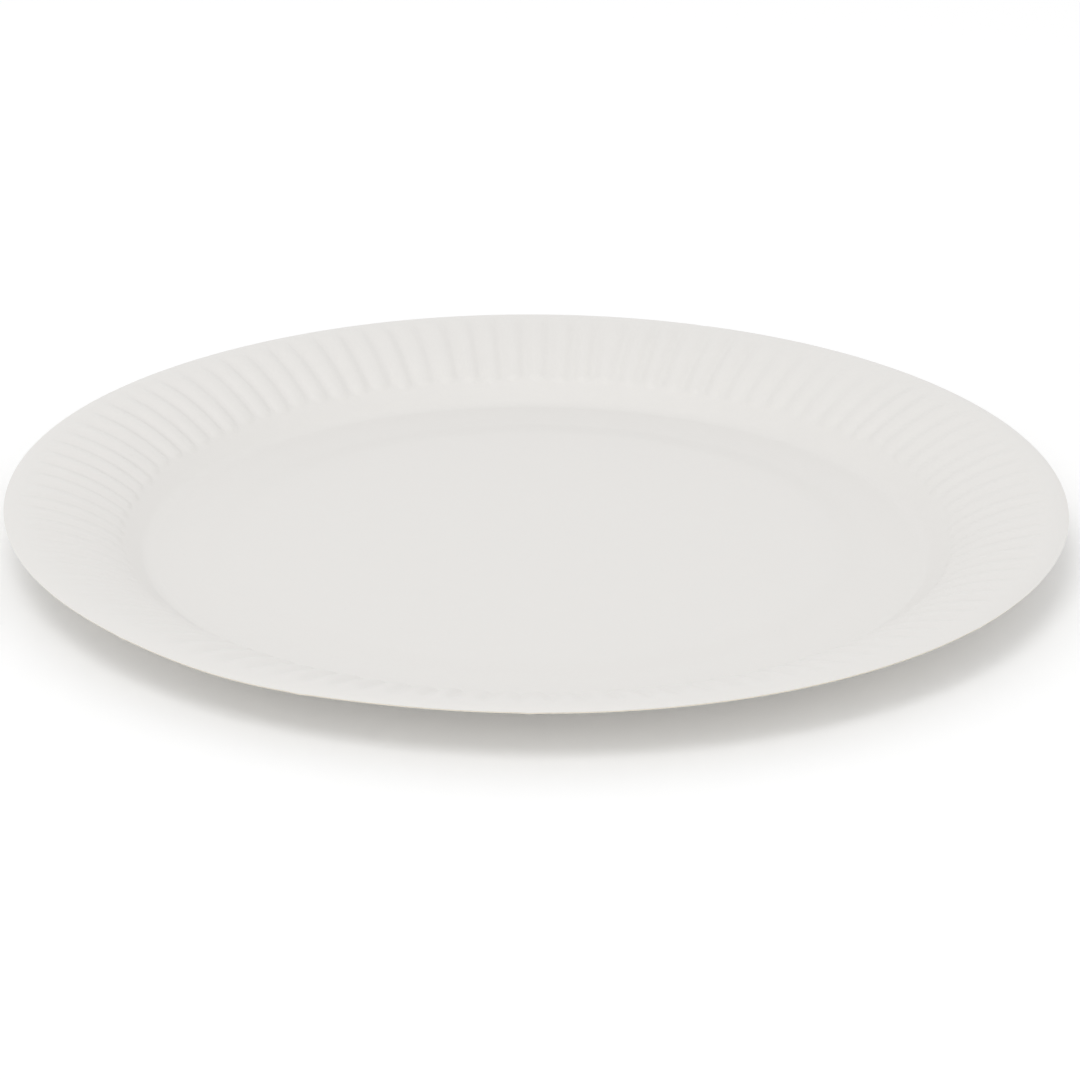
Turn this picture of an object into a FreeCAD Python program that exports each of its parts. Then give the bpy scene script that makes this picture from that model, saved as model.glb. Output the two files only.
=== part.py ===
import FreeCAD, Part
import math
import os

import Sketcher

# A disposable plate pressed from one sheet of paper board: a flat base with a slightly raised
# centre panel, a foot fillet, a short straight wall, a shoulder that curves over to the rim and
# carries a ring of pressed flutes, and a lip that is turned down to the cut edge. Both faces of
# the sheet follow every form.
# Millimetres and degrees. The plate's axis is Z, and the ring that the base stands on lies on
# Z = 0.

SIZES = {
    "rim_diameter": 230.0,
    "rim_width": 30.3,
    "sheet_thickness": 0.45,
    "stand_width": 15.7,
    "panel_step": 0.8,
    "panel_slope_width": 9.0,
    "foot_radius": 5.0,
    "wall_angle": 37.0,
    "wall_height": 4.24,
    "shoulder_radius": 44.0,
    "lip_radius": 6.7,
    "lip_angle": 33.6,
    "flute_count": 108,
    "ridge_height": 0.45,
    "groove_depth": 0.23,
}

# Places in the sheet's section, as distances from the axis (X) and heights (Y).
FOOT_CORNER = "(sizes.rim_diameter / 2 - sizes.rim_width)"
PANEL_INNER = f"({FOOT_CORNER} - sizes.stand_width - sizes.panel_slope_width / 2)"
PANEL_OUTER = f"({FOOT_CORNER} - sizes.stand_width + sizes.panel_slope_width / 2)"
FOOT_X = f"({FOOT_CORNER} - sizes.foot_radius * tan(sizes.wall_angle / 2))"
FOOT_Y = "(sizes.sheet_thickness + sizes.foot_radius)"
WALL_TOP_X = f"({FOOT_CORNER} + sizes.wall_height / tan(sizes.wall_angle))"
SHOULDER_X = f"({WALL_TOP_X} + sizes.shoulder_radius * sin(sizes.wall_angle))"
SHOULDER_Y = "(sizes.sheet_thickness + sizes.wall_height - sizes.shoulder_radius * cos(sizes.wall_angle))"
LIP_X = "(sizes.rim_diameter / 2 - sizes.lip_radius * sin(sizes.lip_angle))"
CENTRES_APART = "(sizes.shoulder_radius - sizes.lip_radius)"
LIP_SLOPE = f"asin(({SHOULDER_X} - {LIP_X}) / {CENTRES_APART})"
LIP_Y = f"({SHOULDER_Y} + {CENTRES_APART} * cos({LIP_SLOPE}))"
LIP_START_X = f"({SHOULDER_X} - sizes.shoulder_radius * sin({LIP_SLOPE}))"

# The numbers by which a sketch knows its axes, its origin, and a piece's two ends and centre.
Y_AXIS, X_AXIS = range(-2, 0)
ORIGIN = X_AXIS
START, END, MIDDLE = range(1, 4)

# The points that a flute's faces pass through, across one flank and along the shoulder.
POINTS_ACROSS = 3
POINTS_ALONG = 4
TOUCH = 1e-6

doc = FreeCAD.newDocument("paper_plate")
sheet = doc.addObject("Spreadsheet::Sheet", "sizes")
for row, (alias, size) in enumerate(SIZES.items(), start=1):
    sheet.set(f"A{row}", alias.replace("_", " "))
    sheet.set(f"B{row}", str(size))
    sheet.setAlias(f"B{row}", alias)
doc.recompute()


def value(expression):
    """What an expression comes to, as a plain number in millimetres or degrees."""
    result = sheet.evalExpression(expression)
    return getattr(result, "Value", result)


def point(across, up):
    """A point of the section."""
    return FreeCAD.Vector(across, up, 0)


def on_arc(centre, radius, slope):
    """The point of an arc where a face above its centre has this slope, in degrees."""
    angle = math.radians(slope)
    return centre + point(-radius * math.sin(angle), radius * math.cos(angle))


def arc(centre, radius, first, last):
    """A counter-clockwise arc between two angles in degrees."""
    circle = Part.Circle(centre, FreeCAD.Vector(0, 0, 1), radius)
    return Part.ArcOfCircle(circle, math.radians(first), math.radians(last))


def new_body(name):
    """A body with an empty sketch on its XZ plane, for a section that is turned round the axis."""
    body = doc.addObject("PartDesign::Body", name)
    sketch = body.newObject("Sketcher::SketchObject", name + "_section")
    planes = [feature for feature in body.Origin.OriginFeatures if feature.Role == "XZ_Plane"]
    sketch.AttachmentSupport = [(planes[0], "")]
    sketch.MapMode = "FlatFace"
    return body, sketch


def add_outline(sketch, pieces, backward=(), tangent=()):
    """Adds the pieces of a closed outline in order and joins each to the next.

    backward names the pieces that are drawn against the outline's order, tangent those that
    flow into a neighbour.
    """
    sketch.addGeometry(pieces, False)
    count = len(pieces)
    for number in range(count):
        following = (number + 1) % count
        leaving = START if number in backward else END
        entering = END if following in backward else START
        kind = "Tangent" if number in tangent or following in tangent else "Coincident"
        sketch.addConstraint(Sketcher.Constraint(kind, number, leaving, following, entering))


def add_size(sketch, kind, name, expression, *places):
    """Adds a named dimension and ties it to the sheet of sizes."""
    size = value(expression)
    if kind == "Angle":
        size = math.radians(size)
    index = sketch.addConstraint(Sketcher.Constraint(kind, *places, size))
    sketch.renameConstraint(index, name)
    sketch.setExpression(f"Constraints.{name}", expression)


def turn_round(body, sketch):
    """Turns the section once round the plate's axis."""
    turned = body.newObject("PartDesign::Revolution", body.Name + "_turned")
    turned.Profile = sketch
    turned.ReferenceAxis = (sketch, ["V_Axis"])
    turned.Angle = 360
    body.Tip = turned


def make_base():
    """The base with its raised panel, the foot fillet and the straight wall."""
    body, sketch = new_body("base")
    thickness = sheet.sheet_thickness
    step = sheet.panel_step
    inner, outer = value(PANEL_INNER), value(PANEL_OUTER)
    foot = point(value(FOOT_X), value(FOOT_Y))
    foot_radius = sheet.foot_radius
    top_over = point(value(WALL_TOP_X), thickness + sheet.wall_height)
    top_under = on_arc(top_over, -thickness, sheet.wall_angle)
    foot_start, foot_end = -90, -90 + sheet.wall_angle
    pieces = [
        Part.LineSegment(point(0, step), point(inner, step)),
        Part.LineSegment(point(inner, step), point(outer, 0)),
        Part.LineSegment(point(outer, 0), point(foot.x, 0)),
        arc(foot, foot_radius + thickness, foot_start, foot_end),
        Part.LineSegment(on_arc(foot, -foot_radius - thickness, sheet.wall_angle), top_under),
        Part.LineSegment(top_under, top_over),
        Part.LineSegment(top_over, on_arc(foot, -foot_radius, sheet.wall_angle)),
        arc(foot, foot_radius, foot_start, foot_end),
        Part.LineSegment(point(foot.x, thickness), point(outer, thickness)),
        Part.LineSegment(point(outer, thickness), point(inner, step + thickness)),
        Part.LineSegment(point(inner, step + thickness), point(0, step + thickness)),
        Part.LineSegment(point(0, step + thickness), point(0, step)),
    ]
    panel_under, slope_under, stand_under, foot_under, wall_under, joint = range(6)
    wall_over, foot_over, stand_over, slope_over, panel_over, axis = range(6, 12)
    add_outline(sketch, pieces, backward=[foot_over], tangent=[foot_under, foot_over])
    sketch.addConstraint([
        Sketcher.Constraint("PointOnObject", panel_under, START, Y_AXIS),
        Sketcher.Constraint("Vertical", axis),
        Sketcher.Constraint("Horizontal", panel_under),
        Sketcher.Constraint("Horizontal", panel_over),
        Sketcher.Constraint("PointOnObject", stand_under, START, X_AXIS),
        Sketcher.Constraint("Horizontal", stand_under),
        Sketcher.Constraint("Horizontal", stand_over),
        Sketcher.Constraint("Vertical", slope_under, START, slope_over, END),
        Sketcher.Constraint("Vertical", slope_under, END, slope_over, START),
        Sketcher.Constraint("Coincident", foot_over, MIDDLE, foot_under, MIDDLE),
        Sketcher.Constraint("Parallel", wall_under, wall_over),
        Sketcher.Constraint("Perpendicular", joint, wall_over),
    ])
    add_size(sketch, "DistanceY", "panel_step", "sizes.panel_step", ORIGIN, START, panel_under, START)
    add_size(sketch, "DistanceY", "panel_sheet", "sizes.sheet_thickness", axis, END, axis, START)
    add_size(sketch, "DistanceY", "stand_sheet", "sizes.sheet_thickness", slope_under, END,
             slope_over, START)
    add_size(sketch, "DistanceX", "panel_inner", PANEL_INNER, ORIGIN, START, panel_under, END)
    add_size(sketch, "DistanceX", "panel_outer", PANEL_OUTER, ORIGIN, START, stand_under, START)
    add_size(sketch, "DistanceX", "foot_place", FOOT_X, ORIGIN, START, foot_over, MIDDLE)
    add_size(sketch, "Radius", "foot_radius", "sizes.foot_radius", foot_over)
    add_size(sketch, "Angle", "wall_angle", "sizes.wall_angle", wall_under)
    add_size(sketch, "DistanceX", "wall_top", WALL_TOP_X, ORIGIN, START, wall_over, START)
    turn_round(body, sketch)
    return body


def make_lip():
    """The lip, from where it leaves the shoulder down to the cut edge."""
    body, sketch = new_body("lip")
    centre = point(value(LIP_X), value(LIP_Y))
    over, under = sheet.lip_radius, sheet.lip_radius - sheet.sheet_thickness
    start, end = value(LIP_SLOPE), -sheet.lip_angle
    pieces = [
        arc(centre, over, 90 + end, 90 + start),
        Part.LineSegment(on_arc(centre, over, start), on_arc(centre, under, start)),
        arc(centre, under, 90 + end, 90 + start),
        Part.LineSegment(on_arc(centre, under, end), on_arc(centre, over, end)),
    ]
    lip_over, joint, lip_under, cut_edge = range(4)
    add_outline(sketch, pieces, backward=[lip_under])
    sketch.addConstraint([
        Sketcher.Constraint("Coincident", lip_over, MIDDLE, lip_under, MIDDLE),
        Sketcher.Constraint("PointOnObject", lip_over, MIDDLE, joint),
        Sketcher.Constraint("PointOnObject", lip_over, MIDDLE, cut_edge),
    ])
    add_size(sketch, "DistanceX", "centre_place", LIP_X, ORIGIN, START, lip_over, MIDDLE)
    add_size(sketch, "DistanceY", "centre_level", LIP_Y, ORIGIN, START, lip_over, MIDDLE)
    add_size(sketch, "Radius", "lip_radius", "sizes.lip_radius", lip_over)
    add_size(sketch, "Distance", "edge_sheet", "sizes.sheet_thickness", cut_edge)
    add_size(sketch, "DistanceX", "edge_place", "sizes.rim_diameter / 2", ORIGIN, START, lip_over, START)
    add_size(sketch, "DistanceX", "lip_start", LIP_START_X, ORIGIN, START, lip_over, END)
    turn_round(body, sketch)
    return body


def relief(along, groove_share):
    """How far a flute lifts the sheet off the plain shoulder.

    along runs from 0 at the wall to 1 at the lip: a flute rises at once, is full halfway and
    runs out into the rim. groove_share runs from 0 on the ridge to 1 in the groove.
    """
    full_halfway = 4 * along * (1 - along)
    pressed = (sheet.ridge_height + sheet.groove_depth) * groove_share
    return full_halfway * (sheet.ridge_height - pressed)


def flank(side, depth):
    """One face of a flute's flank, from its ridge to the groove on one side.

    depth is how far the face lies under the sheet's upper face.
    """
    centre = point(value(SHOULDER_X), value(SHOULDER_Y))
    low, high = sheet.wall_angle, value(LIP_SLOPE)
    half_pitch = 180 / sheet.flute_count
    columns = []
    for column in range(POINTS_ACROSS):
        share = column / (POINTS_ACROSS - 1)
        turn = math.radians(side * half_pitch * share)
        run = []
        for step in range(POINTS_ALONG):
            along = step / (POINTS_ALONG - 1)
            radius = sheet.shoulder_radius + relief(along, share) - depth
            place = on_arc(centre, radius, low + (high - low) * along)
            run.append([FreeCAD.Vector(place.x * math.cos(turn), place.x * math.sin(turn), place.y)])
        curve = Part.BezierCurve()
        curve.interpolate(run)
        columns.append(curve.getPoles())
    poles = []
    for row in zip(*columns):
        curve = Part.BezierCurve()
        curve.interpolate([[pole] for pole in row])
        poles.append(curve.getPoles())
    degrees = len(poles) - 1, len(poles[0]) - 1
    ends = [[degree + 1, degree + 1] for degree in degrees]
    surface = Part.BSplineSurface()
    surface.buildFromPolesMultsKnots(poles, *ends, [0, 1], [0, 1], False, False, *degrees)
    return surface.toShape()


def make_fluted_shoulder():
    """Both faces of the shoulder, as a ring of flutes."""
    flute = [flank(side, depth) for depth in (0, sheet.sheet_thickness) for side in (-1, 1)]
    origin, upright = FreeCAD.Vector(0, 0, 0), FreeCAD.Vector(0, 0, 1)
    count = int(sheet.flute_count)
    ring = []
    for number in range(count):
        ring += [face.rotated(origin, upright, number * 360 / count) for face in flute]
    feature = doc.addObject("Part::Feature", "fluted_shoulder")
    feature.Shape = Part.makeCompound(ring)
    feature.Placement = FreeCAD.Placement()
    return feature


def without_joint(body, centre, radius, slope):
    """A body's faces, apart from the one where its sheet goes on into the shoulder's."""
    middle = on_arc(centre, radius - sheet.sheet_thickness / 2, slope)
    probe = Part.Vertex(middle.x, 0, middle.y)
    return [face for face in body.Shape.Faces if face.distToShape(probe)[0] > TOUCH]


def make_plate(base, shoulder, lip):
    """The whole sheet as one solid: the faces of base, shoulder and lip, sewn where they meet."""
    centre = point(value(SHOULDER_X), value(SHOULDER_Y))
    radius = sheet.shoulder_radius
    faces = without_joint(base, centre, radius, sheet.wall_angle)
    faces += shoulder.Shape.Faces
    faces += without_joint(lip, centre, radius, value(LIP_SLOPE))
    skin = Part.makeCompound(faces)
    skin.sewShape()
    if len(skin.Shells) != 1 or not skin.Shells[0].isClosed():
        raise RuntimeError(f"the sheet's faces don't close: {len(skin.Shells)} shells")
    solid = Part.makeSolid(skin.Shells[0])
    if solid.Volume < 0:
        solid.reverse()
    feature = doc.addObject("Part::Feature", "plate")
    feature.Shape = solid
    feature.Placement = FreeCAD.Placement()
    return feature


base = make_base()
lip = make_lip()
doc.recompute()
shoulder = make_fluted_shoulder()
plate = make_plate(base, shoulder, lip)
doc.recompute()

for thing in doc.Objects:
    if "Invalid" in thing.State or "Error" in thing.State:
        raise RuntimeError(f"{thing.Label} failed: {thing.State}")
for piece in (base, lip, shoulder, plate):
    if piece.Shape.isNull() or not piece.Shape.isValid():
        raise RuntimeError(f"{piece.Label} has no valid shape")

os.makedirs("parts", exist_ok=True)
plate.Shape.exportStep(f"parts/{plate.Label}.step")
print(f"{plate.Label}: {plate.Shape.Volume:.0f} mm3, {len(plate.Shape.Faces)} faces")
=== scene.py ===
import math
import bmesh
import bpy
import numpy as np
from mathutils import Matrix, Vector


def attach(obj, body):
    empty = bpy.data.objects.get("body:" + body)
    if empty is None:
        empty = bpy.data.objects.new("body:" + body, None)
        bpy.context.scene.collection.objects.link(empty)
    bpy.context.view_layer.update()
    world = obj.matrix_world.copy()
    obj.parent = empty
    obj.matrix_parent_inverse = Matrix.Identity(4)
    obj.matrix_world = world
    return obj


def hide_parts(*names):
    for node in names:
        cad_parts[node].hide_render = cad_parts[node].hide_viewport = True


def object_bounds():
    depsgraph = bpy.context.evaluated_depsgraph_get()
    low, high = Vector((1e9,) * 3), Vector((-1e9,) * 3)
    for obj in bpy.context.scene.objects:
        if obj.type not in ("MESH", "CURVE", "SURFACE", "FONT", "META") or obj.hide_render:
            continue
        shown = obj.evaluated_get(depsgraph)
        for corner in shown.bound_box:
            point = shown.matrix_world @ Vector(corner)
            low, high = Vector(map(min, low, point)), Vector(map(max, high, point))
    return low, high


# A disposable paper plate on a white table, under soft studio light. Lengths are in metres, angles
# in degrees. The plate is one pressed sheet, so it is one piece, with a material of its own for the
# upper face, the underside and the bare cut edge.

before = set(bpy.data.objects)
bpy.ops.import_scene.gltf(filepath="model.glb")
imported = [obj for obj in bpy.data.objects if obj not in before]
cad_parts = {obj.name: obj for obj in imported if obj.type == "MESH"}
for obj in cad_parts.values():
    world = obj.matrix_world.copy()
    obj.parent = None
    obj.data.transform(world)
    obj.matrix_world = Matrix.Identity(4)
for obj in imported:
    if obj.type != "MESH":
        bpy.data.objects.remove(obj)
cad_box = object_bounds()

# The sheet's section, as in the plate's source
RIM_DIAMETER = 0.230
RIM_WIDTH = 0.0303
SHEET_THICKNESS = 0.00045
STAND_WIDTH = 0.0157
PANEL_STEP = 0.0008
PANEL_SLOPE_WIDTH = 0.009
FOOT_RADIUS = 0.005
WALL_ANGLE = 37.0
WALL_HEIGHT = 0.00424
SHOULDER_RADIUS = 0.044
LIP_RADIUS = 0.0067
LIP_ANGLE = 33.6

# The flutes. A flute runs from its toe, near the wall's top, and fades out over the rim's crest.
# The lengths are measured along the section from the wall's top.
FLUTE_COUNT = 108
RIDGE_HEIGHT = 0.00042
GROOVE_DEPTH = 0.00026
GROOVE_SHARPNESS = 1.5
TOE_START = -0.0010
TOE_LENGTH = 0.0018
FADE_START = 0.0180
FADE_END = 0.0240
OUTWARD_GROWTH = 0.2
PLAIN_GROWTH_AT = 0.35
GROOVE_TOE_LAG = 0.35

# How much the flutes differ from each other, in where they start, height, spacing and lean
TOE_WANDER = 0.0003
HEIGHT_WANDER = 0.12
PHASE_WANDER = 0.04
LEAN_WANDER = 0.06
PHASE_WAVES = (5, 9, 14, 23, 31, 43)
LEAN_WAVES = (4, 11, 19, 29, 37)
WANDER_SEED = 7

# How fine the mesh is
COLUMNS_PER_FLUTE = 10
COLUMNS = FLUTE_COUNT * COLUMNS_PER_FLUTE
UNDERSIDE_ROW_SKIP = 2
SLOPE_ROWS = 10
FOOT_ROWS = 8
LIP_ROWS = 10

# The camera, found from the rim's outline in the photograph
CAMERA_DISTANCE = 1.100
CAMERA_ELEVATION = 21.709
CAMERA_TARGET_HEIGHT = 0.01345
CAMERA_PITCH = 22.290
CAMERA_YAW = 0.047
CAMERA_ROLL = 0.417
CAMERA_LENS = 169.18
SENSOR_WIDTH = 36.0

# Half the table's side
TABLE_HALF = 2.5

# Colours as they are to look, in sRGB
PAPER_WHITE = (230, 228, 225)
UNDERSIDE_WHITE = (227, 224, 218)
EDGE_CREAM = (233, 227, 213)
TABLE_WHITE = (252, 252, 252)

# The sizes of the paper's clouds, fibres, specks, tooth and felt marks, and of the cut edge's
# layers and fray
CLOUD_SIZE = 0.005
FIBRE_SIZE = 0.0008
FIBRE_STRETCH = (1.0, 1.8, 1.0)
SPECK_SIZE = 0.0011
TOOTH_SIZE = 0.00035
FELT_SIZE = 0.0022
LAYER_SIZE = 0.00012
LAYER_STRETCH = (0.15, 0.15, 1.0)
FRAY_SIZE = 0.00015
FRAY_DEPTH = 0.00003
UPPER_TOOTH_DEPTH = 0.000010
UNDERSIDE_TOOTH_DEPTH = 0.000018

# The light tent: its brightness overhead, and how much brighter it is level with the plate
TENT_LIGHT = 0.604
SIDES_BOOST = 0.35
FRONT_AND_BACK_BOOST = 1.05

# The key light, a large soft square, and the table's own share of white
KEY_LIGHT = 10.5
KEY_SIZE = 0.9
KEY_DISTANCE = 2.2
KEY_FROM_UPRIGHT = 31.0
KEY_FROM_FRONT = 17.0
TABLE_GLOW = 0.08


def linear(colour):
    """A linear RGBA colour from sRGB values of 0 to 255."""
    parts = []
    for level in colour:
        share = level / 255
        parts.append(share / 12.92 if share <= 0.04045 else ((share + 0.055) / 1.055) ** 2.4)
    return (*parts, 1.0)


def smooth(share):
    """An S-shaped rise from 0 to 1."""
    share = np.clip(share, 0.0, 1.0)
    return share * share * (3.0 - 2.0 * share)


def on_arc(centre, radius, slope):
    """The point of an arc where a face above its centre has this slope."""
    angle = math.radians(slope)
    return centre[0] - radius * math.sin(angle), centre[1] + radius * math.cos(angle)


# Places in the section, worked out from the sizes
RIM_RADIUS = RIM_DIAMETER / 2
FOOT_CORNER = RIM_RADIUS - RIM_WIDTH
PANEL_INNER = FOOT_CORNER - STAND_WIDTH - PANEL_SLOPE_WIDTH / 2
PANEL_OUTER = FOOT_CORNER - STAND_WIDTH + PANEL_SLOPE_WIDTH / 2
FOOT_CENTRE = (
    FOOT_CORNER - FOOT_RADIUS * math.tan(math.radians(WALL_ANGLE / 2)),
    SHEET_THICKNESS + FOOT_RADIUS,
)
WALL_TOP = (
    FOOT_CORNER + WALL_HEIGHT / math.tan(math.radians(WALL_ANGLE)),
    SHEET_THICKNESS + WALL_HEIGHT,
)
SHOULDER_CENTRE = (
    WALL_TOP[0] + SHOULDER_RADIUS * math.sin(math.radians(WALL_ANGLE)),
    WALL_TOP[1] - SHOULDER_RADIUS * math.cos(math.radians(WALL_ANGLE)),
)
LIP_CENTRE_X = RIM_RADIUS - LIP_RADIUS * math.sin(math.radians(LIP_ANGLE))
LIP_SLOPE = math.degrees(math.asin((SHOULDER_CENTRE[0] - LIP_CENTRE_X) / (SHOULDER_RADIUS - LIP_RADIUS)))
LIP_CENTRE = (
    LIP_CENTRE_X,
    SHOULDER_CENTRE[1] + (SHOULDER_RADIUS - LIP_RADIUS) * math.cos(math.radians(LIP_SLOPE)),
)


def section():
    """The upper face's section, from the edge of its flat middle to the cut edge.

    Each row is a distance from the axis, a height, the slope there in degrees and how far the
    section has run since the wall's top, which is negative before it.
    """
    rows = []
    no_flute = -FOOT_CORNER
    shoulder_run = SHOULDER_RADIUS * math.radians(WALL_ANGLE - LIP_SLOPE)
    for share in (0.94, 0.97):
        rows.append((PANEL_INNER * share, SHEET_THICKNESS + PANEL_STEP, 0.0, no_flute))
    for share in np.linspace(0.0, 1.0, SLOPE_ROWS):
        radius = PANEL_INNER + (PANEL_OUTER - PANEL_INNER) * share
        height = SHEET_THICKNESS + PANEL_STEP * (1.0 - smooth(share))
        fall = 6.0 * share * (1.0 - share) * PANEL_STEP / (PANEL_OUTER - PANEL_INNER)
        rows.append((radius, height, -math.degrees(math.atan(fall)), no_flute))
    rows.append(((PANEL_OUTER + FOOT_CENTRE[0]) / 2, SHEET_THICKNESS, 0.0, no_flute))
    for slope in np.linspace(0.0, WALL_ANGLE, FOOT_ROWS):
        radius, height = on_arc(FOOT_CENTRE, -FOOT_RADIUS, slope)
        rows.append((radius, height, slope, no_flute))
    foot = on_arc(FOOT_CENTRE, -FOOT_RADIUS, WALL_ANGLE)
    for share in (0.25, 0.5, 0.6, 0.7, 0.8, 0.9):
        radius = foot[0] + (WALL_TOP[0] - foot[0]) * share
        height = foot[1] + (WALL_TOP[1] - foot[1]) * share
        rows.append((radius, height, WALL_ANGLE, -math.dist(foot, WALL_TOP) * (1.0 - share)))
    toes, middle, ends = np.linspace(0.0, 0.1, 5), np.linspace(0.15, 0.7, 9), np.linspace(0.75, 1.0, 7)
    for share in np.concatenate([toes, middle, ends]):
        slope = WALL_ANGLE + (LIP_SLOPE - WALL_ANGLE) * share
        radius, height = on_arc(SHOULDER_CENTRE, SHOULDER_RADIUS, slope)
        rows.append((radius, height, slope, shoulder_run * share))
    for slope in np.linspace(LIP_SLOPE, -LIP_ANGLE, LIP_ROWS)[1:]:
        radius, height = on_arc(LIP_CENTRE, LIP_RADIUS, slope)
        lip_run = LIP_RADIUS * math.radians(LIP_SLOPE - slope)
        rows.append((radius, height, slope, shoulder_run + lip_run))
    return rows


def bell(turns, direction, width):
    """A bell curve round a direction, for angles that are all clockwise from straight back."""
    apart = (turns - direction + 180.0) % 360.0 - 180.0
    return np.exp(-0.5 * (apart / width) ** 2)


def wander(rng, scale, loops):
    """A value for each column that drifts round the plate, as a sum of a few slow waves."""
    turns = np.linspace(0.0, 2.0 * math.pi, COLUMNS, endpoint=False)
    total = np.zeros(COLUMNS)
    for count in loops:
        total += np.cos(count * turns + rng.uniform(0.0, 2.0 * math.pi)) / math.sqrt(len(loops))
    return scale * total


class Flutes:
    """The ring of flutes, each a little different from the next."""

    def __init__(self):
        rng = np.random.default_rng(WANDER_SEED)
        turns = np.arange(COLUMNS) / COLUMNS_PER_FLUTE
        self.phase = turns + wander(rng, PHASE_WANDER, PHASE_WAVES)
        self.lean = wander(rng, LEAN_WANDER, LEAN_WAVES)
        self.height = 1.0 + self.each_its_own(rng, HEIGHT_WANDER)
        self.toe = TOE_START + self.each_its_own(rng, TOE_WANDER)
        around = 360.0 * np.arange(COLUMNS) / COLUMNS
        for direction, deeper, width in PRESSING:
            self.height += deeper * bell(around, direction, width)
        for direction, outward, width in TOE_SHIFTS:
            self.toe += outward * bell(around, direction, width)

    def each_its_own(self, rng, scale):
        """A value for each flute, which passes evenly into its neighbours' values."""
        ridges = np.arange(FLUTE_COUNT)
        values = scale * rng.uniform(-1.7, 1.7, FLUTE_COUNT)
        return np.interp(self.phase, ridges, values, period=FLUTE_COUNT)

    def relief(self, run):
        """How far the flutes lift each column off the plain shoulder, this far from the wall's top."""
        across = 0.5 - 0.5 * np.cos(2.0 * math.pi * (self.phase + self.lean * run / FADE_START))
        groove = across ** GROOVE_SHARPNESS
        rise = smooth((run - self.toe - TOE_LENGTH * GROOVE_TOE_LAG * across) / TOE_LENGTH)
        fade = 1.0 - smooth((run - FADE_START) / (FADE_END - FADE_START))
        lift = RIDGE_HEIGHT - (RIDGE_HEIGHT + GROOVE_DEPTH) * groove
        growth = 1.0 + OUTWARD_GROWTH * (run / FADE_START - PLAIN_GROWTH_AT)
        return lift * rise * fade * growth * self.height


# Where the flutes are pressed deeper or less deep: direction, share and width
PRESSING = [
    (278.0, 0.15, 12.0),
    (312.0, -0.12, 14.0),
    (355.0, 0.12, 20.0),
    (62.0, -0.25, 22.0),
    (92.0, -0.20, 14.0),
    (242.0, -0.42, 15.0),
]

# Where the flutes begin further out or in: direction, shift and width
TOE_SHIFTS = [
    (276.0, -0.0007, 22.0),
    (358.0, 0.0004, 18.0),
]

# Unevenness of the whole rim: where it is lifted or pressed down, by how much and how wide
RIM_BENDS = [
    (212.0, -0.0009, 9.0),
    (250.0, -0.0002, 14.0),
    (95.0, -0.0003, 22.0),
    (320.0, -0.0002, 16.0),
]

# Where the shoulder is pressed flatter and the edge stays in place: direction, depth and width
FLATTER_STRETCHES = [
    (180.0, 0.0012, 44.0),
]

# Short creases across the lip: direction from the axis, depth and width in degrees
CREASES = [
    (180.5, 0.00012, 0.45),
    (204.0, 0.00014, 0.5),
    (227.0, 0.00012, 0.45),
    (20.0, 0.00008, 0.4),
    (128.0, 0.00009, 0.4),
]
CREASE_START = 0.1085


def rim_shift(radius, turns):
    """How far the bends, flatter stretches and creases move each column of a row up or down."""
    reach = smooth((radius - WALL_TOP[0]) / (RIM_RADIUS - WALL_TOP[0]))
    shift = np.zeros(COLUMNS)
    for direction, lift, width in RIM_BENDS:
        shift += lift * reach * bell(turns, direction, width)
    over_shoulder = np.clip((radius - WALL_TOP[0]) / (RIM_RADIUS - WALL_TOP[0]), 0.0, 1.0)
    for direction, depth, width in FLATTER_STRETCHES:
        shift -= depth * math.sin(math.pi * over_shoulder) * bell(turns, direction, width)
    near_edge = smooth((radius - CREASE_START) / (RIM_RADIUS - CREASE_START))
    for direction, depth, width in CREASES:
        shift -= depth * near_edge * bell(turns, direction, width)
    return shift


def row_points(row, flutes, depth):
    """The points of one ring of a face, at a depth under the upper face."""
    radius, height, slope, run = row
    angle = math.radians(slope)
    columns = np.arange(COLUMNS)
    turns = 360.0 * columns / COLUMNS
    lift = flutes.relief(run) - depth
    out = radius - lift * math.sin(angle)
    up = height + lift * math.cos(angle) + rim_shift(radius, turns)
    bearing = np.radians(turns)
    return np.column_stack([out * np.sin(bearing), out * np.cos(bearing), up])


def add_ring(mesh, points):
    """Adds a ring of vertices and gives them back in order."""
    return [mesh.verts.new(place) for place in points]


def join_rings(mesh, inner, outer, material, upward):
    """Joins two rings with quads."""
    for number in range(COLUMNS):
        following = (number + 1) % COLUMNS
        corners = [inner[number], outer[number], outer[following], inner[following]]
        if upward:
            corners.reverse()
        face = mesh.faces.new(corners)
        face.material_index = material
        face.smooth = True


def cap_centre(mesh, ring, material, upward):
    """Closes a face's flat middle."""
    face = mesh.faces.new(ring[::-1] if upward else ring)
    face.material_index = material


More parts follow.
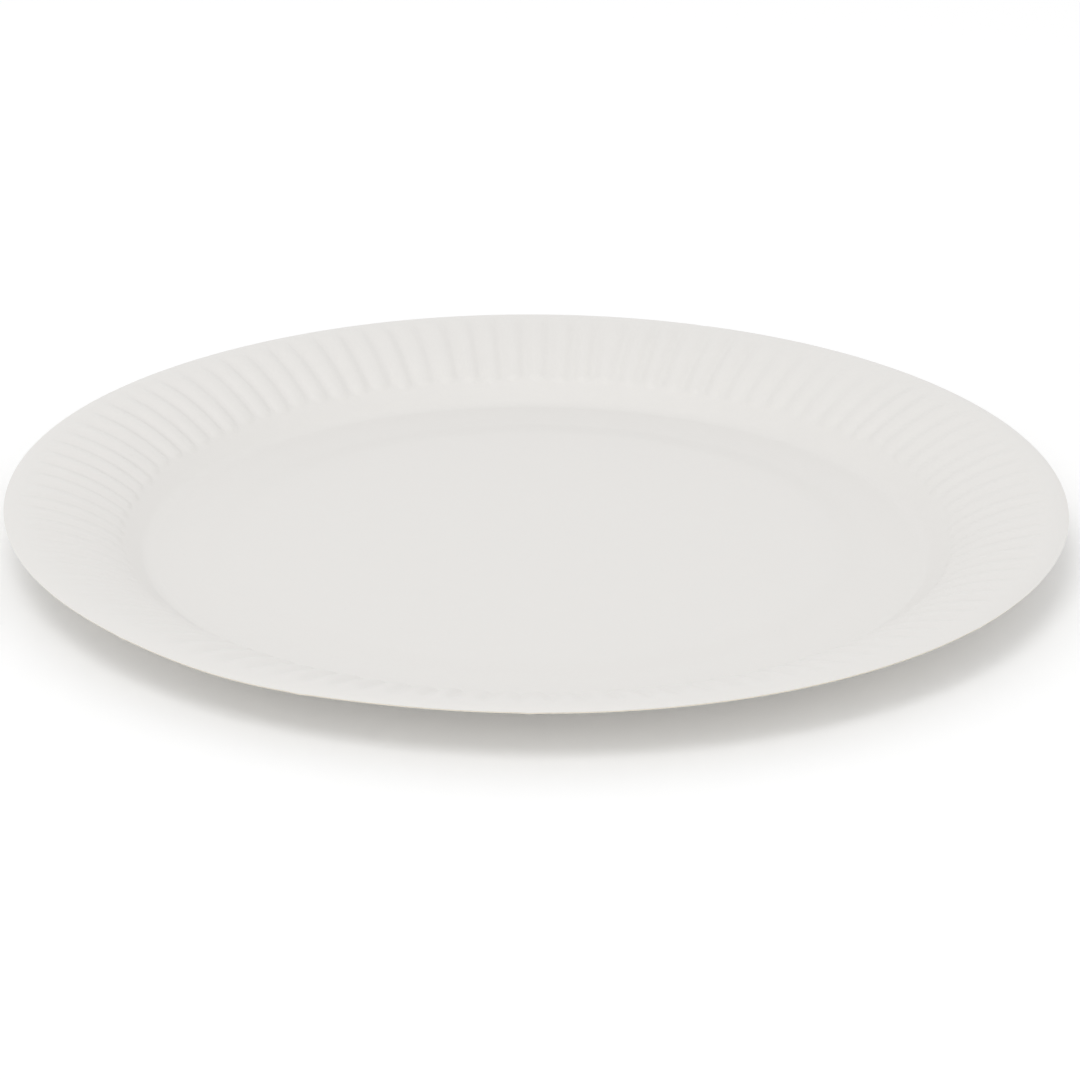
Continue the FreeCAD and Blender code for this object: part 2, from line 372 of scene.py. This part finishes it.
def build_plate(materials):
    """The whole sheet as one closed mesh."""
    upper_slot, under_slot, edge_slot = range(3)
    rows = section()
    flutes = Flutes()
    mesh = bmesh.new()
    upper = [add_ring(mesh, row_points(row, flutes, 0.0)) for row in rows]
    under_rows = rows[::UNDERSIDE_ROW_SKIP]
    if under_rows[-1] is not rows[-1]:
        under_rows.append(rows[-1])
    under = [add_ring(mesh, row_points(row, flutes, SHEET_THICKNESS)) for row in under_rows]
    cap_centre(mesh, upper[0], upper_slot, True)
    cap_centre(mesh, under[0], under_slot, False)
    for inner, outer in zip(upper, upper[1:]):
        join_rings(mesh, inner, outer, upper_slot, True)
    for inner, outer in zip(under, under[1:]):
        join_rings(mesh, inner, outer, under_slot, False)
    join_rings(mesh, upper[-1], under[-1], edge_slot, True)
    for edge in mesh.edges:
        slots = {face.material_index for face in edge.link_faces}
        edge.smooth = len(slots) == 1
    data = bpy.data.meshes.new("plate_sheet")
    mesh.to_mesh(data)
    mesh.free()
    for material in materials:
        data.materials.append(material)
    piece = bpy.data.objects.new("plate_sheet", data)
    bpy.context.scene.collection.objects.link(piece)
    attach(piece, "root")
    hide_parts("plate")


class Shader:
    """A new material's nodes, with short calls to add and join them."""

    def __init__(self, name):
        self.material = bpy.data.materials.new(name)
        self.material.use_nodes = True
        self.nodes = self.material.node_tree.nodes
        self.links = self.material.node_tree.links
        self.surface = self.nodes["Principled BSDF"]
        self.place = self.nodes.new("ShaderNodeTexCoord").outputs["Object"]

    def stretched(self, scale):
        """The place on the piece, scaled along each axis."""
        mapping = self.nodes.new("ShaderNodeMapping")
        mapping.inputs["Scale"].default_value = scale
        self.links.new(self.place, mapping.inputs["Vector"])
        return mapping.outputs["Vector"]

    def noise(self, size, detail, where=None):
        """Noise whose blotches are about this many metres across."""
        node = self.nodes.new("ShaderNodeTexNoise")
        node.inputs["Scale"].default_value = 1.0 / size
        node.inputs["Detail"].default_value = detail
        self.links.new(where or self.place, node.inputs["Vector"])
        return node.outputs["Fac"]

    def ramp(self, value, low, high, first, last):
        """A value mapped from one range to another."""
        node = self.nodes.new("ShaderNodeMapRange")
        node.inputs["From Min"].default_value = low
        node.inputs["From Max"].default_value = high
        node.inputs["To Min"].default_value = first
        node.inputs["To Max"].default_value = last
        self.links.new(value, node.inputs["Value"])
        return node.outputs["Result"]

    def mix(self, factor, first, second):
        """A colour between two, given as colours or as sockets."""
        node = self.nodes.new("ShaderNodeMix")
        node.data_type = "RGBA"
        self.links.new(factor, node.inputs["Factor"])
        for socket, colour in ((node.inputs[6], first), (node.inputs[7], second)):
            if isinstance(colour, tuple):
                socket.default_value = colour
            else:
                self.links.new(colour, socket)
        return node.outputs[2]

    def bump(self, height, distance, below=None):
        """A normal roughened by a height, in metres, on top of another bump."""
        node = self.nodes.new("ShaderNodeBump")
        node.inputs["Strength"].default_value = 1.0
        node.inputs["Distance"].default_value = distance
        self.links.new(height, node.inputs["Height"])
        if below:
            self.links.new(below, node.inputs["Normal"])
        return node.outputs["Normal"]

    def give(self, name, value):
        """Sets an input of the surface."""
        socket = self.surface.inputs[name]
        if isinstance(value, (int, float)):
            socket.default_value = value
        else:
            self.links.new(value, socket)


def shade(colour, share):
    """A colour made lighter or darker by a share."""
    return tuple(level * share for level in colour[:3]) + (1.0,)


def paper_material(name, colour, roughness, grain_depth, sheen):
    """White paper board: cloudy fibres, a fine tooth and scattered darker specks."""
    shader = Shader(name)
    clouds = shader.noise(CLOUD_SIZE, 4.0)
    cloudy = shader.ramp(clouds, 0.35, 0.65, 0.0, 1.0)
    tint = shader.mix(cloudy, shade(colour, 0.995), shade(colour, 1.004))
    fibres = shader.noise(FIBRE_SIZE, 5.0, shader.stretched(FIBRE_STRETCH))
    tint = shader.mix(shader.ramp(fibres, 0.3, 0.7, 0.0, 0.5), tint, shade(colour, 0.985))
    specks = shader.noise(SPECK_SIZE, 1.0)
    tint = shader.mix(shader.ramp(specks, 0.76, 0.80, 0.0, 0.25), tint, shade(colour, 0.90))
    shader.give("Base Color", tint)
    shader.give("Roughness", shader.ramp(clouds, 0.3, 0.7, roughness - 0.04, roughness + 0.04))
    shader.give("Specular IOR Level", sheen)
    tooth = shader.noise(TOOTH_SIZE, 3.0)
    felt = shader.noise(FELT_SIZE, 3.0)
    rough = shader.bump(tooth, grain_depth)
    shader.give("Normal", shader.bump(felt, grain_depth * 2.0, rough))
    return shader.material


def edge_material():
    """The bare cut edge, where the board's layers show."""
    shader = Shader("cut_edge_board")
    cream = linear(EDGE_CREAM)
    layers = shader.noise(LAYER_SIZE, 2.0, shader.stretched(LAYER_STRETCH))
    layered = shader.ramp(layers, 0.35, 0.65, 0.0, 1.0)
    shader.give("Base Color", shader.mix(layered, shade(cream, 0.94), shade(cream, 1.03)))
    shader.give("Roughness", 0.85)
    shader.give("Specular IOR Level", 0.2)
    fray = shader.noise(FRAY_SIZE, 3.0)
    shader.give("Normal", shader.bump(fray, FRAY_DEPTH))
    return shader.material


def table_material():
    """The white table."""
    shader = Shader("table_white")
    shader.surface.inputs["Base Color"].default_value = linear(TABLE_WHITE)
    shader.surface.inputs["Emission Color"].default_value = (1.0, 1.0, 1.0, 1.0)
    seen = shader.nodes.new("ShaderNodeLightPath").outputs["Is Camera Ray"]
    shader.give("Emission Strength", shader.ramp(seen, 0.0, 1.0, 0.0, TABLE_GLOW))
    shader.give("Roughness", 0.9)
    shader.give("Specular IOR Level", 0.0)
    return shader.material


def build_table():
    """The table, level with the ring that the plate stands on."""
    data = bpy.data.meshes.new("table")
    sides = [(-1, -1), (1, -1), (1, 1), (-1, 1)]
    corners = [(across * TABLE_HALF, along * TABLE_HALF, 0.0) for across, along in sides]
    data.from_pydata(corners, [], [(0, 1, 2, 3)])
    data.materials.append(table_material())
    table = bpy.data.objects.new("table", data)
    bpy.context.scene.collection.objects.link(table)
    table.location.z = cad_box[0][2]


def add_camera():
    """The camera, in front of the plate and a little above it."""
    elevation = math.radians(CAMERA_ELEVATION)
    pitch, yaw, roll = (math.radians(angle) for angle in (CAMERA_PITCH, CAMERA_YAW, CAMERA_ROLL))
    ahead = math.cos(pitch)
    forward = Vector((math.sin(yaw) * ahead, math.cos(yaw) * ahead, -math.sin(pitch)))
    level = Vector((math.cos(yaw), -math.sin(yaw), 0.0))
    upright = level.cross(forward)
    right = math.cos(roll) * level + math.sin(roll) * upright
    above = -math.sin(roll) * level + math.cos(roll) * upright
    data = bpy.data.cameras.new("camera")
    data.sensor_width = SENSOR_WIDTH
    data.lens = CAMERA_LENS
    camera = bpy.data.objects.new("camera", data)
    turn = Matrix((right, above, -forward)).transposed().to_4x4()
    place = Vector((
        0.0,
        -CAMERA_DISTANCE * math.cos(elevation),
        CAMERA_DISTANCE * math.sin(elevation) + CAMERA_TARGET_HEIGHT,
    ))
    camera.matrix_world = Matrix.Translation(place) @ turn
    bpy.context.scene.collection.objects.link(camera)
    bpy.context.scene.camera = camera


def add_light_tent():
    """Light from all round, and one large soft light above, in front and a little to the left.

    The camera sees the world as plain white, whatever light it gives the plate.
    """
    world = bpy.data.worlds.new("tent")
    world.use_nodes = True
    nodes, links = world.node_tree.nodes, world.node_tree.links
    nodes["Background"].inputs["Color"].default_value = (1.0, 1.0, 1.0, 1.0)
    level = nodes.new("ShaderNodeVectorMath")
    level.operation = "MULTIPLY"
    level.inputs[1].default_value = (math.sqrt(SIDES_BOOST), math.sqrt(FRONT_AND_BACK_BOOST), 0.0)
    links.new(nodes.new("ShaderNodeTexCoord").outputs["Generated"], level.inputs[0])
    boost = nodes.new("ShaderNodeVectorMath")
    boost.operation = "DOT_PRODUCT"
    links.new(level.outputs["Vector"], boost.inputs[0])
    links.new(level.outputs["Vector"], boost.inputs[1])
    strength = nodes.new("ShaderNodeMath")
    strength.operation = "MULTIPLY_ADD"
    strength.inputs[1].default_value = TENT_LIGHT
    strength.inputs[2].default_value = TENT_LIGHT
    links.new(boost.outputs["Value"], strength.inputs[0])
    seen = nodes.new("ShaderNodeMix")
    seen.inputs["B"].default_value = 1.0
    links.new(nodes.new("ShaderNodeLightPath").outputs["Is Camera Ray"], seen.inputs["Factor"])
    links.new(strength.outputs["Value"], seen.inputs["A"])
    links.new(seen.outputs["Result"], nodes["Background"].inputs["Strength"])
    bpy.context.scene.world = world
    tilt, bearing = math.radians(KEY_FROM_UPRIGHT), math.radians(KEY_FROM_FRONT)
    aside = math.sin(tilt)
    towards = Vector((-math.sin(bearing) * aside, -math.cos(bearing) * aside, math.cos(tilt)))
    data = bpy.data.lights.new("key", "AREA")
    data.size = KEY_SIZE
    data.energy = KEY_LIGHT
    key = bpy.data.objects.new("key", data)
    key.location = KEY_DISTANCE * towards
    key.rotation_euler = towards.to_track_quat("Z", "Y").to_euler()
    bpy.context.scene.collection.objects.link(key)


bpy.context.scene.view_settings.view_transform = "Standard"
add_camera()
build_plate([
    paper_material("upper_paper", linear(PAPER_WHITE), 0.52, UPPER_TOOTH_DEPTH, 0.35),
    paper_material("underside_paper", linear(UNDERSIDE_WHITE), 0.75, UNDERSIDE_TOOTH_DEPTH, 0.2),
    edge_material(),
])
build_table()
add_light_tent()
